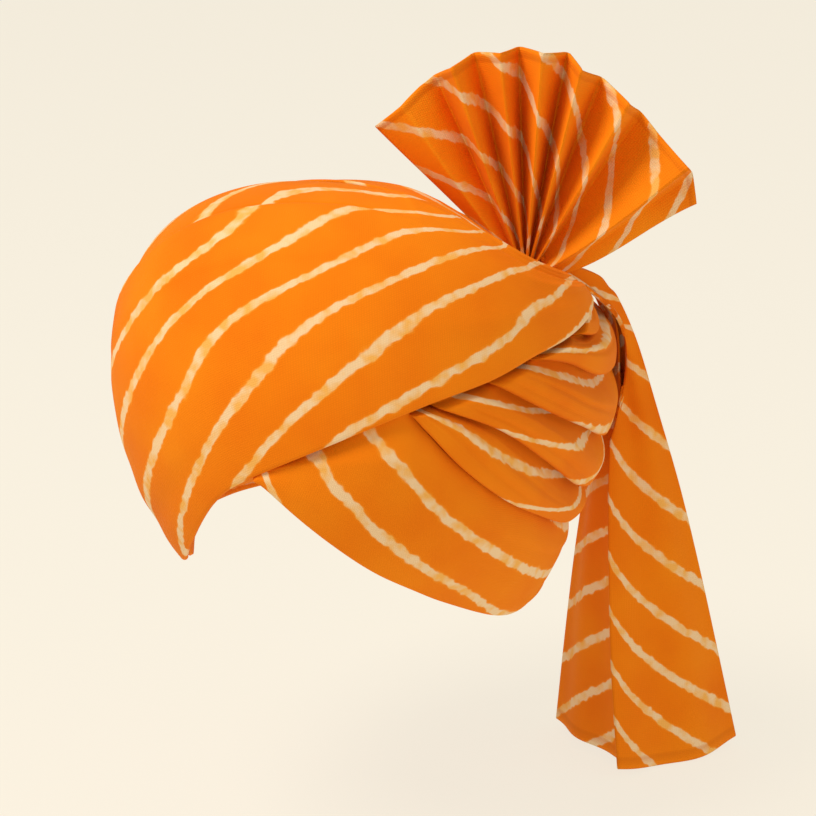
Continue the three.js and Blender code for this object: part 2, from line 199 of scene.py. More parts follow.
def lay_cloth(name, points, dye, thickness, hem=None, closed=False):
    """A grid of cloth moved onto its points, in millimetres from the middle of the head,
    given its weave as a UV map, its dye and hem as attributes, and its thickness."""
    hem = np.zeros(points.shape[:2]) if hem is None else hem
    outward = np.cross(np.gradient(points, axis=0), np.gradient(points, axis=1))
    if not closed and (outward * points).sum() < 0:
        points, dye, hem = points[:, ::-1], dye[:, ::-1], hem[:, ::-1]
    along, across = points.shape[0] - 1, points.shape[1] - 1
    bpy.ops.object.select_all(action="DESELECT")
    bpy.ops.mesh.primitive_grid_add(x_subdivisions=along, y_subdivisions=across, size=2)
    piece = bpy.context.object
    piece.name = piece.data.name = name
    spots = np.empty(len(piece.data.vertices) * 3)
    piece.data.vertices.foreach_get("co", spots)
    spots = spots.reshape(-1, 3)
    i = np.rint((spots[:, 0] + 1) / 2 * along).astype(int)
    j = np.rint((spots[:, 1] + 1) / 2 * across).astype(int)
    piece.data.vertices.foreach_set("co", ((points[i, j] - [0, 0, HEAD_MIDDLE]) * MILLIMETRE).ravel())
    steps = np.linalg.norm(np.diff(points, axis=0), axis=-1).mean(1)
    runs = np.concatenate([[0], np.cumsum(steps)])
    widths = np.cumsum(np.linalg.norm(np.diff(points, axis=1), axis=-1), axis=1)
    widths = np.pad(widths, ((0, 0), (1, 0)))
    weave = np.stack([runs[i], widths[i, j]], -1) * MILLIMETRE
    corners = np.empty(len(piece.data.loops), int)
    piece.data.loops.foreach_get("vertex_index", corners)
    piece.data.uv_layers.active.data.foreach_set("uv", weave[corners].ravel())
    for field, values in (("dye", dye), ("hem", hem)):
        attribute = piece.data.attributes.new(field, "FLOAT", "POINT")
        attribute.data.foreach_set("value", values[i, j].astype(float))
    piece.data.update()
    cloth = piece.modifiers.new("cloth", "SOLIDIFY")
    cloth.thickness = thickness * MILLIMETRE
    cloth.offset = -1
    bpy.ops.object.modifier_apply(modifier="cloth")
    bpy.ops.object.shade_smooth()
    return piece


def dyed_cotton(name, ground, deep, lit, weave_depth, roughness):
    """Tie-dyed cotton voile: a matt orange ground that runs a little light and dark,
    crossed by cream stripes with beaded, bled edges, over a fine plain weave."""
    cloth = bpy.data.materials.new(name)
    cloth.use_nodes = True
    shader = cloth.node_tree.nodes["Principled BSDF"]
    shader.inputs["Roughness"].default_value = roughness
    shader.inputs["Specular IOR Level"].default_value = 0.12
    shader.inputs["Sheen Weight"].default_value = 0.06
    shader.inputs["Sheen Roughness"].default_value = 0.45
    shader.inputs["Sheen Tint"].default_value = linear("#FFB05A")
    place = add_node(cloth, "ShaderNodeTexCoord")
    spot = {"Vector": place.outputs["Object"]}
    dye = add_node(cloth, "ShaderNodeAttribute", {"attribute_name": "dye"})
    # A stripe lies at each whole number of the dye. Its edges wander by about 1 mm
    # every 9 mm, and the beads of undyed cloth along them are about 5 mm long.
    wander = add_node(cloth, "ShaderNodeTexNoise", {"Scale": 110, "Detail": 2}, spot)
    bead = add_node(cloth, "ShaderNodeTexNoise", {"Scale": 210, "Detail": 1}, spot)
    shifted = {"operation": "MULTIPLY_ADD", 1: 0.09, 2: -0.045}
    drift = add_node(cloth, "ShaderNodeMath", shifted, {0: wander.outputs["Fac"]})
    both = {0: dye.outputs["Fac"], 1: drift.outputs[0]}
    moved = add_node(cloth, "ShaderNodeMath", {"operation": "ADD"}, both)
    nearest = add_node(cloth, "ShaderNodeMath", {"operation": "ROUND"}, {0: moved.outputs[0]})
    both = {0: moved.outputs[0], 1: nearest.outputs[0]}
    off = add_node(cloth, "ShaderNodeMath", {"operation": "SUBTRACT"}, both)
    away = add_node(cloth, "ShaderNodeMath", {"operation": "ABSOLUTE"}, {0: off.outputs[0]})
    shifted = {"operation": "MULTIPLY_ADD", 1: 0.12, 2: -0.06}
    swell = add_node(cloth, "ShaderNodeMath", shifted, {0: bead.outputs["Fac"]})
    both = {0: away.outputs[0], 1: swell.outputs[0]}
    edge = add_node(cloth, "ShaderNodeMath", {"operation": "ADD"}, both)
    stripe = add_node(
        cloth,
        "ShaderNodeMapRange",
        {"interpolation_type": "SMOOTHSTEP", "From Min": 0.07, "From Max": 0.105, "To Min": 1, "To Max": 0},
        {"Value": edge.outputs[0]},
    )
    bleed = add_node(
        cloth,
        "ShaderNodeMapRange",
        {"interpolation_type": "SMOOTHSTEP", "From Min": 0.08, "From Max": 0.14, "To Min": 0.6, "To Max": 0},
        {"Value": edge.outputs[0]},
    )
    # The ground's own light and dark patches, 20 to 60 mm across.
    patches = add_node(cloth, "ShaderNodeTexNoise", {"Scale": 22, "Detail": 3}, spot)
    ground_tone = add_node(cloth, "ShaderNodeValToRGB", {}, {"Fac": patches.outputs["Fac"]})
    ramp = ground_tone.color_ramp
    ramp.elements[0].position, ramp.elements[0].color = 0.32, linear(deep)
    ramp.elements[1].position, ramp.elements[1].color = 0.7, linear(lit)
    middle = ramp.elements.new(0.5)
    middle.color = linear(ground)
    bled = add_node(
        cloth,
        "ShaderNodeMix",
        {"data_type": "RGBA", 7: linear("#F69A26")},
        {0: bleed.outputs["Result"], 6: ground_tone.outputs["Color"]},
    )
    cream = add_node(cloth, "ShaderNodeValToRGB", {}, {"Fac": wander.outputs["Fac"]})
    cream.color_ramp.elements[0].position, cream.color_ramp.elements[0].color = 0.36, linear("#F4B45A")
    cream.color_ramp.elements[1].position, cream.color_ramp.elements[1].color = 0.56, linear("#F2CFA0")
    striped = add_node(
        cloth,
        "ShaderNodeMix",
        {"data_type": "RGBA"},
        {0: stripe.outputs["Result"], 6: bled.outputs[2], 7: cream.outputs["Color"]},
    )
    # The real threads are 0.3 mm apart, too fine to show, so the weave is drawn with a
    # thread every 1 mm each way.
    threads = []
    for way in ("X", "Y"):
        bands = {
            "wave_type": "BANDS",
            "bands_direction": way,
            "Scale": 314,
            "Distortion": 1.5,
            "Detail Scale": 2,
        }
        threads.append(add_node(cloth, "ShaderNodeTexWave", bands, {"Vector": place.outputs["UV"]}))
    both = {0: threads[0].outputs["Fac"], 1: threads[1].outputs["Fac"]}
    weave = add_node(cloth, "ShaderNodeMath", {"operation": "MULTIPLY"}, both)
    tones = {"To Min": 0.95, "To Max": 1.04}
    tone = add_node(cloth, "ShaderNodeMapRange", tones, {"Value": weave.outputs[0]})
    multiplied = {"data_type": "RGBA", "blend_type": "MULTIPLY", 0: 1.0}
    woven = add_node(cloth, "ShaderNodeMix", multiplied, {6: striped.outputs[2]})
    shade = add_node(cloth, "ShaderNodeCombineColor", {}, {part: tone.outputs[0] for part in range(3)})
    cloth.node_tree.links.new(shade.outputs[0], woven.inputs[7])
    # The doubled hem stands a little proud of the cloth, with a darker sewn line.
    hem = add_node(cloth, "ShaderNodeAttribute", {"attribute_name": "hem"})
    rest = add_node(cloth, "ShaderNodeMath", {"operation": "SUBTRACT", 0: 1.0}, {1: hem.outputs["Fac"]})
    both = {0: hem.outputs["Fac"], 1: rest.outputs[0]}
    sewn = add_node(cloth, "ShaderNodeMath", {"operation": "MULTIPLY"}, both)
    strengthened = {"operation": "MULTIPLY", 1: 1.6, "use_clamp": True}
    line = add_node(cloth, "ShaderNodeMath", strengthened, {0: sewn.outputs[0]})
    hemmed = add_node(
        cloth,
        "ShaderNodeMix",
        {"data_type": "RGBA", 7: linear("#D26C08")},
        {0: line.outputs[0], 6: woven.outputs[2]},
    )
    cloth.node_tree.links.new(hemmed.outputs[2], shader.inputs["Base Color"])
    both = {0: hem.outputs["Fac"], 2: weave.outputs[0]}
    relief = add_node(cloth, "ShaderNodeMath", {"operation": "MULTIPLY_ADD", 1: 2.5}, both)
    depth = {"Strength": weave_depth, "Distance": 0.0004}
    bump = add_node(cloth, "ShaderNodeBump", depth, {"Height": relief.outputs[0]})
    cloth.node_tree.links.new(bump.outputs["Normal"], shader.inputs["Normal"])
    return cloth


voile = dyed_cotton("tie-dyed cotton voile", "#F07E06", "#EC7604", "#F3860A", 0.25, 0.85)

lining_turns, lining_rings = 176, 70
# How far the winding's outer side is sunk below the wound form, in millimetres
WRAP_BED = 7.5
RIM = [
    [9, 5], [13, 1.5], [24, -15], [36, -29], [55, -42], [68, -48], [93, -54], [120, -51], [150, -44],
    [180, -39], [-150, -40], [-120, -42], [-90, -42], [-75, -41], [-60, -40], [-48, -41], [-36, -41],
    [-28, -37.5], [-22, -32], [-15, -22.5], [-5, -7], [3, 1.5], [9, 5],
]
# How many degrees the rim's inner edge stands higher than its outer one, row by row
RIM_RISE = [4, 4, 4, 3, 2, 1, 1, 1, 1, 1, 1, 1, 1, 1, 2, 3, 3, 3, 4, 6, 8, 6, 4]
inner_rim = [[azimuth, latitude + rise] for (azimuth, latitude), rise in zip(RIM, RIM_RISE)]
around = np.linspace(0, 1, lining_turns + 1)
turn, ring = np.meshgrid(around, np.linspace(0.004, 1, lining_rings + 1), indexing="ij")
top = np.broadcast_to(np.array([0.0, 0.0, 1.0]), (*turn.shape, 3))
way = between(top, on_curve(inner_rim, turn), ring)
lap = (ring * 7 + turn) % 1
inside = way * (hollow_radius(way) + 0.3 + 1.2 * lap * smooth_step(ring, 0.05, 0.2))[..., None]
rim_turns = np.linspace(0, 1, 13)[1:]
rim_way, inner_way = on_curve(RIM, around), on_curve(inner_rim, around)
hollow, bed = hollow_radius(inner_way), winding_radius(rim_way) - WRAP_BED
lip = []
for t in rim_turns:
    out_share = 0.5 - 0.5 * math.cos(math.pi * t)
    lip_way = between(inner_way, rim_way, np.full(lining_turns + 1, out_share))
    radius = hollow + (bed - hollow) * out_share
    lip.append(lip_way * radius[:, None] - [0, 0, 3.0 * math.sin(math.pi * t)])
lip = np.stack(lip, 1)
outside_share = np.linspace(1, 0.84, 9)[1:]
outside_way = between(
    top[:, : len(outside_share)],
    np.repeat(rim_way[:, None], len(outside_share), 1),
    np.broadcast_to(outside_share, (lining_turns + 1, len(outside_share))),
)
outside = outside_way * (winding_radius(outside_way) - WRAP_BED)[..., None]
points = np.concatenate([inside, lip, outside], 1)
dye = np.full(points.shape[:2], 0.5)
inner_winding = lay_cloth("inner_winding_cloth", points[:, ::-1], dye, 1.2, closed=True)
bpy.ops.object.mode_set(mode="EDIT")
bpy.ops.mesh.select_all(action="SELECT")
bpy.ops.mesh.remove_doubles(threshold=0.00002)
bpy.ops.object.mode_set(mode="OBJECT")
inner_winding.data.materials.append(voile)
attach(inner_winding, "root")
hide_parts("inner_winding")


# The crown wrap
# The layers of the same voile that cross the crown behind the front wrap. A sliver of
# them shows at the top. They are pulled tight and their edges are turned under.
def creased(place, share, rows):
    """Heights of the listed creases. Each row is the start place and share, the end place
    and share, the ridge and step in millimetres, and the spread as a share."""
    total = np.zeros(place.shape)
    for start, start_share, end, end_share, ridge, step, spread in rows:
        t = np.clip((place - start) / (end - start), 0, 1)
        fade = np.sin(math.pi * t) ** 0.6
        q = (share - (start_share + (end_share - start_share) * t)) / spread
        total += fade * (ridge * np.exp(-(q**2)) + step * 0.5 * (1 + np.tanh(2 * q)))
    return total


# How deep a run's ends go in under their neighbours, and its thickness, in millimetres
END_DEPTH = 6.5
WRAP_THICKNESS = 1.1


def wrap_cloth(
    name, low, high, size, surface, dye_rows, low_roll, high_roll, ends, seat=(7, 7), drift=None, lap=0
):
    """A run of the cloth between two seams, with its edges turned under in a soft roll
    and its ends tucked under their neighbours. size is how many steps along and across,
    seat how deep each edge goes in, and lap how far it runs on past the upper seam."""
    along, across = size
    first, last = ends
    place = np.linspace(-first, 1 + last, along + 1)
    low_way, high_way = low(place), high(place)
    angle = np.arccos(np.clip((low_way * high_way).sum(-1), -1, 1))
    high_way = between(low_way, high_way, 1 + lap / 100 / angle)
    centre = between(low_way, high_way, np.full(along + 1, 0.5))
    width = np.arccos(np.clip((low_way * high_way).sum(-1), -1, 1)) * form_radius(centre)
    fit = np.clip(width / 16, 0.15, 1)
    turns = np.radians(np.linspace(250, 100, 7))
    sides = []
    for roll, deep in ((low_roll, seat[0]), (high_roll, seat[1])):
        under = [(roll * 5, -deep), (roll * 2.6, -deep * 0.5 - roll)]
        edge = [(roll + roll * math.cos(a), roll * math.sin(a) - roll) for a in turns]
        sides.append(np.array(under + edge))
    middle = np.linspace(0, 1, across + 1)
    inset_low, inset_high = low_roll * fit, high_roll * fit
    top_x = inset_low[:, None] + (width - inset_low - inset_high)[:, None] * middle
    low_x = fit[:, None] * sides[0][:, 0]
    high_x = width[:, None] - fit[:, None] * sides[1][::-1, 0]
    x = np.concatenate([low_x, top_x, high_x], 1)
    h_low = np.broadcast_to(sides[0][:, 1], low_x.shape)
    h_high = np.broadcast_to(sides[1][::-1, 1], high_x.shape)
    h = np.concatenate([h_low, np.zeros(top_x.shape), h_high], 1)
    share = x / width[:, None]
    reach = (1 + lap / 100 / angle)[:, None]
    places = np.repeat(place[:, None], x.shape[1], 1)
    low_ways, high_ways = [np.repeat(edge[:, None], x.shape[1], 1) for edge in (low_way, high_way)]
    way = between(low_ways, high_ways, share)
    tuck = END_DEPTH * (1 - smooth_step(place, -first * 0.4, 0.03))
    tuck += END_DEPTH * smooth_step(place, 0.97, 1 + last * 0.4)
    seam_share = share * reach
    shown = np.clip(seam_share, 0, 1)
    radius = surface(way, places, shown) + h - tuck[:, None]
    dye = np.array(dye_rows, float)
    values = along_table(dye, np.clip(places, 0, 1))
    low_dye, middle_dye, high_dye = np.moveaxis(values, -1, 0)
    t = seam_share
    field = low_dye * (1 - t) * (1 - 2 * t) + 4 * middle_dye * t * (1 - t) + high_dye * t * (2 * t - 1)
    if drift:
        field = field + drift(places, shown)
    return lay_cloth(name, way * radius[..., None], field, WRAP_THICKNESS)


# The seams between the runs of the cloth: rows of azimuth and latitude in degrees
SEAMS = {
    "crown": [
        [110, 28], [103, 34], [94, 39], [86, 45], [78, 52], [64, 60], [44, 69], [6, 77], [-44, 76],
        [-69, 67], [-82, 56], [-93, 45], [-102, 32], [-112, 17],
    ],
    "fold 1": [
        [117.5, 21], [123, 22.2], [130, 26], [139, 31], [154, 35.5], [172, 37], [-170, 36],
        [-152, 31.5], [-134, 24], [-119, 10],
    ],
    "fold 2": [
        [99, 15], [111, 12], [128, 15], [148, 20], [168, 22], [-172, 20], [-154, 15], [-139, 7], [-126, -1],
    ],
    "fold 3": [
        [76, 14.3], [90, 10], [108, 2], [130, 0], [155, 4], [178, 6], [-162, 2], [-144, -5], [-131, -11],
    ],
    "fold 4": [
        [61, 11.4], [79, 1], [97, -8], [118, -16], [142, -14], [168, -10], [-168, -11], [-148, -15],
        [-135, -19],
    ],
    "fold 5": [
        [46, 8], [63, 0], [80, -12], [100, -24], [125, -29], [155, -26], [180, -24], [-156, -24], [-139, -26],
    ],
    "ear": [
        [11, -6.8], [18, -2.1], [26, 1.5], [34, 4.9], [40, 6.9], [44, 3.2], [53, -7], [66, -18],
        [82, -27], [100, -34], [120, -37], [145, -36], [170, -34], [-160, -33], [-143.5, -33],
    ],
}


def seam(name):
    """The way on a seam at each place along it."""
    return lambda place: on_curve(SEAMS[name], place)


CROWN_CREASES = [
    [0, 0.3, 1, 0.35, 1.2, 0, 0.05],
    [0, 0.55, 1, 0.6, 1, 0, 0.05],
    [0, 0.8, 1, 0.8, 1, 0, 0.04],
]
crown_wrap = wrap_cloth(
    "crown_wrap_cloth",
    seam("fold 1"),
    seam("crown"),
    (150, 60),
    lambda way, place, share: winding_radius(way) - 1.5 + creased(place, share, CROWN_CREASES),
    [[1, 3, 5], [2, 4.2, 6.2], [3, 5.4, 7.6], [4, 6.5, 8.8]],
    1.5,
    1.5,
    (0.01, 0.01),
)
crown_wrap.data.materials.append(voile)
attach(crown_wrap, "root")
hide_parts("crown_wrap")


# The side folds
# Five gathered folds of the same voile that fan out over the left ear from under the
# front wrap's edge and go on round the back. Each laps over the one below it.
def fold_surface(depth, creases):
    """Round and full near the fold's lower edge, sinking under the fold above it."""

    def surface(way, place, share):
        rise = 0.75 + 0.25 * np.sin(0.5 * math.pi * np.clip(share / 0.4, 0, 1))
        body = rise * (1 - smooth_step(share, 0.42, 1.0))
        return winding_radius(way) - depth * (1 - body) + creased(place, share, creases)

    return surface


def ear_place(place):
    """The ear seam's place where the folds follow it, from its fifth row on."""
    return 4 / 14 + (1 - 4 / 14) * place


# One row for each fold: its seams, then its dye at the low, middle and high edge at the
# front, at a quarter, at half and at the rear, and its creases.
FOLDS = [
    (
        "side_fold_1",
        seam("fold 2"),
        seam("fold 1"),
        [[1.3, 0.8, 0.3], [1.8, 1.3, 0.8], [2.6, 2.1, 1.6], [3.6, 3.0, 2.5], [4.6, 4.0, 3.4]],
        [[0, 0.35, 0.5, 0.4, -0.9, 0, 0.07], [0, 0.65, 0.4, 0.7, -0.8, 0, 0.06]],
    ),
    (
        "side_fold_2",
        seam("fold 3"),
        seam("fold 2"),
        [[1.3, 0.8, 0.3], [1.6, 1.05, 0.5], [2.0, 1.4, 0.9], [2.9, 2.3, 1.8], [3.8, 3.2, 2.7]],
        [[0, 0.3, 0.35, 0.38, -1.0, 0, 0.05], [0, 0.6, 0.5, 0.66, -0.9, 0, 0.06]],
    ),
    (
        "side_fold_3",
        seam("fold 4"),
        seam("fold 3"),
        [[1.7, 1.2, 0.7], [2.0, 1.4, 0.8], [2.5, 1.9, 1.3], [3.3, 2.7, 2.1], [4.1, 3.5, 2.9]],
        [[0, 0.48, 0.38, 0.36, -1.3, 0, 0.05], [0, 0.22, 0.3, 0.16, -0.8, 0, 0.05]],
    ),
    (
        "side_fold_4",
        seam("fold 5"),
        seam("fold 4"),
        [[1.5, 0.95, 0.4], [2.6, 2.0, 1.6], [3.7, 3.3, 2.9], [4.9, 4.4, 4.0], [6.0, 5.6, 5.2]],
        [[0, 0.3, 0.4, 0.2, -1.1, 0, 0.06], [0.02, 0.62, 0.3, 0.55, 0.8, 0, 0.07]],
    ),
    (
        "side_fold_5",
        lambda place: on_curve(SEAMS["ear"], ear_place(place)),
        seam("fold 5"),
        [[1.5, 1.0, 0.5], [1.8, 1.2, 0.7], [3.0, 2.4, 1.8], [4.0, 3.5, 3.0], [5.0, 4.5, 4.0]],
        [
            [0, 0.66, 0.4, 0.5, -1.3, 0, 0.05],
            [0, 0.36, 0.34, 0.26, -1.2, 0, 0.06],
            [0.05, 0.8, 0.4, 0.72, 0.7, 0, 0.05],
        ],
    ),
]
for name, low, high, dye_rows, creases in FOLDS:
    # The top fold stands fuller, as it fills the corner of the tuck.
    depth = 4.0 if name == "side_fold_1" else 8.2
    side_fold = wrap_cloth(
        name + "_cloth",
        low,
        high,
        (170, 34),
        fold_surface(depth, creases),
        dye_rows,
        1.9,
        1.0,
        (0.022, 0.01),
        seat=(7, 4),
        lap=3,
    )
    side_fold.data.materials.append(voile)
    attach(side_fold, "root")
    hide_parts(name)


# The ear wrap
# A broad smooth run of the voile over the left ear, with a low rounded lobe behind it.
# It starts under the brow and goes on round the nape. Its lower edge is turned under.
EAR_TOP = [
    [8.4, -5.2], [17.5, -1.2], [25.7, 2.4], [33.8, 5.8], [40, 7.7], [44, 3.2], [53, -7], [66, -18],
    [82, -27], [100, -34], [120, -37], [145, -36], [170, -34], [-160, -33], [-143.5, -33],
]
EAR_RIM = [
    [8.4, -6.4], [11.8, -8.4], [18, -14.3], [25, -21], [33, -28.3], [43, -35.7], [55, -43.7], [68, -49.3],
    [80, -52.8], [93, -54.8], [108, -54.5], [124, -53], [145, -48], [170, -42], [-165, -41], [-149, -42],
]
EAR_DYE = [
    [-0.9, -0.5, -0.1], [-0.2, 0.3, 0.8], [0.2, 0.75, 1.3], [0.25, 1.15, 2.1], [0.4, 1.5, 2.6],
    [0.45, 1.68, 2.78], [0.55, 1.75, 2.86], [0.75, 1.84, 2.88], [0.9, 1.96, 2.88], [1.0, 2.06, 2.9],
    [1.1, 2.2, 3.15], [1.2, 2.3, 3.25], [1.3, 2.4, 3.3], [1.4, 2.5, 3.4], [1.5, 2.6, 3.5], [1.6, 2.7, 3.6],
]
EAR_CREASES = [
    [0.25, 0.8, 0.75, 0.62, -0.7, 0, 0.06],
    [0.1, 0.3, 0.7, 0.3, 0.5, 0, 0.12],
    [0.5, 0.12, 1, 0.2, 0.9, 0, 0.05],
]
ear_wrap = wrap_cloth(
    "ear_wrap_cloth",
    lambda place: on_curve(EAR_RIM, place),
    lambda place: on_curve(EAR_TOP, place),
    (230, 50),
    lambda way, place, share: winding_radius(way)
    + 7.5 * hump(way, 100, -54, 34) * (1 - share)
    - 4.6 * smooth_step(share, 0.7, 1.0)
    - 3 * smooth_step(share, 0.2, 0.9) * (1 - smooth_step(place, 0.05, 0.25))
    - 1.5 * smooth_step(share, 0.86, 1.01) * smooth_step(place, 0.26, 0.32)
    + creased(place, share, EAR_CREASES),
    EAR_DYE,
    2.2,
    1.0,
    (0.005, 0.01),
)
ear_wrap.data.materials.append(voile)
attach(ear_wrap, "root")
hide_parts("ear_wrap")


# The front wrap
# The broad outermost run of the voile, from behind the right ear over the right temple,
# the brow and the crown to the tuck at the rear left. One pleat crosses it at the top.
FRONT_LOW = [
    [-145, -42], [-136, -43], [-118, -44], [-95, -44], [-72, -43], [-50, -41.2], [-30, -39.4], [-13, -27.5],
    [0, -13], [9, -6.2], [26, 2], [44, 8.5], [61, 12], [75, 15], [87, 16], [98, 17], [107, 18], [119.5, 19.5],
]
FRONT_HIGH = [
    [-144, -37], [-137, -26], [-128, -10], [-118, 4], [-108, 19], [-99, 33], [-90, 46], [-78, 56], [-64, 66],
    [-40, 74], [10, 75], [46, 67], [66, 59], [78, 51], [84, 44], [92, 38], [101, 33], [112.5, 27.5],
]
# Heights at the low, middle and high edge in millimetres
FRONT_LIFTS = [
    [-1, 0, -1], [-1, 0, 0], [-1, 0, 0], [-1, 0, 0], [-2, 0, 0], [-2, -1, 0], [-2.5, 0, 0], [-2, 1, 0],
    [0, 2, 1], [0, 2, 0.5], [0, 1, 0], [0, 0, 0], [0, 0, -1], [0, 0, -2], [0, 0, 0], [0, 1, 0], [0, 1, 0],
    [-1, 0, -1],
]
# Dye at the low, middle and high edge
FRONT_DYE = [
    [3.0, 1.0, -1.0], [3.0, 0.8, -1.3], [3.1, 0.7, -1.6], [3.2, 0.6, -1.8], [3.3, 0.5, -2.0],
    [3.4, 0.4, -2.2], [3.6, 0.4, -2.4], [4.2, 0.6, -2.2], [4.7, 1.3, -0.2], [5.2, 2.0, 0.1],
    [6.05, 2.9, 0.4], [6.3, 3.9, 0.8],
    [6.5, 4.7, 1.4], [6.85, 5.25, 2.6], [7.0, 5.6, 3.9], [7.05, 6.0, 4.6], [7.05, 6.3, 5.2], [7.1, 6.5, 5.6],
]
FRONT_CREASES = [
    [0.25, 0.452, 0.66, 0.75, 0, -4.6, 0.009],
    [0.24, 0.455, 0.64, 0.748, -2.4, 0, 0.01],
    [0.36, 0.455, 0.62, 0.5, 0, 1.2, 0.02],
    [0.62, 0.93, 1, 0.8, 0.9, 0, 0.035],
    [0.66, 0.78, 1, 0.62, -0.9, 0, 0.04],
    [0.72, 0.55, 1, 0.45, 0.8, 0, 0.05],
    [0.15, 0.14, 0.5, 0.08, -1.2, 0, 0.035],
    [0.12, 0.28, 0.47, 0.2, -0.8, 0, 0.04],
    [0.1, 0.45, 0.45, 0.4, 0.7, 0, 0.05],
    [0.55, 0.3, 0.95, 0.22, 0.5, 0, 0.06],
    [0.7, 0.86, 1, 0.66, 0, -1.6, 0.016],
    [0.76, 0.7, 1, 0.56, 0, -1.0, 0.014],
]
# Where the dye runs off its even course: place, share, spread along and across, amount
FRONT_DRIFTS = [
    [0.5, 0.56, 0.08, 0.13, -0.6], [0.68, 0.86, 0.08, 0.14, -0.5], [0.51, 0.34, 0.09, 0.12, 0.22],
    [0.6, 0.3, 0.06, 0.1, 0.13], [0.73, 0.2, 0.07, 0.12, -0.18], [0.66, 0.36, 0.06, 0.1, 0.12],
]


def front_drift(place, share):
    """How far the stripes run off course, and their break across the pleat at the top."""
    total = creased(place, share, [[0.3, 0.488, 0.535, 0.659, 0, -0.5, 0.008]])
    for at_place, at_share, along, across, amount in FRONT_DRIFTS:
        total += amount * np.exp(-(((place - at_place) / along) ** 2) - ((share - at_share) / across) ** 2)
    return total


def front_surface(way, place, share):
    """The wound form with the front wrap's heights and creases on it."""
    low, middle, high = np.moveaxis(along_table(FRONT_LIFTS, np.clip(place, 0, 1)), -1, 0)
    bend = low * (1 - share) * (1 - 2 * share) + 4 * middle * share * (1 - share)
    bend += high * share * (2 * share - 1)
    return form_radius(way) + bend + creased(place, share, FRONT_CREASES)


front_wrap = wrap_cloth(
    "front_wrap_cloth",
    lambda place: on_curve(FRONT_LOW, place),
    lambda place: on_curve(FRONT_HIGH, place),
    (260, 160),
    front_surface,
    FRONT_DYE,
    1.9,
    1.6,
    (0.01, 0.004),
    drift=front_drift,
)
front_wrap.data.materials.append(voile)
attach(front_wrap, "root")
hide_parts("front_wrap")


# The fan
# The starched end of the cloth, pleated into a standing fan whose folds meet in the
# tuck. The pleats are pressed, so their near edges are crisp, and the rim is hemmed.
sideways = np.array([math.cos(facing), math.sin(facing), 0])
rearwards = np.array([-math.sin(facing), math.cos(facing), 0])
upright = np.array([0.0, 0.0, 1.0])
root_way = direction(113, 36.5)
root = root_way * (winding_radius(root_way) - 1.5)
# Fold lines from the left edge to the right one: angle from level, reach and depth in
# millimetres, droop towards the root in degrees, and dye at the root
PLEATS = [
    [134, 100, 2.4, 2, -0.4],
    [124, 102, -9.6, 0, 0.1],
    [118, 103, 2.4, 0, 0.45],
    [114, 103, 12, 0, 0.65],
    [109, 108, -12, 0, 0.85],
    [103, 107, 12, 0, 1.25],
    [97, 109, -9.6, 0, 1.55],
    [92, 107, 12, 0, 1.8],
    [87, 109, -12, 0, 2.35],
    [80, 106, 12, 0, 2.8],
    [77, 104, -12, 0, 3.0],
    [70, 99, 12, 0, 3.6],
    [62, 97, -12, 0, 4.1],
    [56, 93, 12, 2, 4.6],
    [49, 91, 3, 4, 5.1],
    [37, 92, -12, 8, 5.6],
    [33, 91, 4, 12, 6.0],
    [24, 86, 4.8, 20, 6.6],
]
focus = root - upright * 8.5
fold_angle, fold_reach, fold_depth, fold_droop, fold_dye = np.array(PLEATS, float).T
out = np.linspace(0, 1, 61)
lines = []
for angle, reach, depth, droop in zip(fold_angle, fold_reach, fold_depth, fold_droop):
    low_turn = math.radians(angle - droop)
    low_ray = sideways * math.cos(low_turn) + upright * math.sin(low_turn)
    trial = np.arange(0, 55, 0.5)[:, None] * low_ray + focus
    size = np.linalg.norm(trial, axis=1)
    clear = size > winding_radius(trial / size[:, None]) + 0.4
    start = max(np.argmax(clear) * 0.5 - 3, 2)
    far = start + (reach - start) * out
    turn = np.radians(angle - droop * (1 - out) ** 2)
    ray = np.cos(turn)[:, None] * sideways + np.sin(turn)[:, None] * upright
    lines.append(focus + ray * far[:, None] + rearwards * (depth * np.minimum(far / 62, 1) ** 0.85)[:, None])
lines = np.array(lines)
panel = 12
shares = np.linspace(0, 1, panel + 1)[:-1]
columns = []
for n in range(len(lines) - 1):
    for t in shares:
        swell = 0.9 * math.sin(math.pi * t) * np.linspace(0.2, 1, len(out))[:, None] * rearwards
        columns.append(lines[n] * (1 - t) + lines[n + 1] * t + swell * (1 if n % 2 else -1))
columns.append(lines[-1])
points = np.array(columns)
points[1:-1] = 0.25 * points[:-2] + 0.5 * points[1:-1] + 0.25 * points[2:]
across = np.linspace(0, len(lines) - 1, len(points))
distance = np.linalg.norm(points - focus, axis=-1)
dye = np.interp(across, np.arange(len(lines)), fold_dye)[:, None] + distance / 30
hem = np.broadcast_to(smooth_step(out, 0.962, 0.97), dye.shape)
# The fan's ground and its darker and lighter tones are set lighter than the voile's. This is painted light,
# for the glow of light through its single starched layer.
starched = dyed_cotton("starched tie-dyed cotton with painted glow", "#F98A0A", "#F38006", "#FC9412", 0.45, 0.8)
turra_fan = lay_cloth("turra_fan_cloth", points, dye, 0.9, hem=hem)
turra_fan.data.materials.append(starched)
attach(turra_fan, "root")
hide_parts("turra_fan")


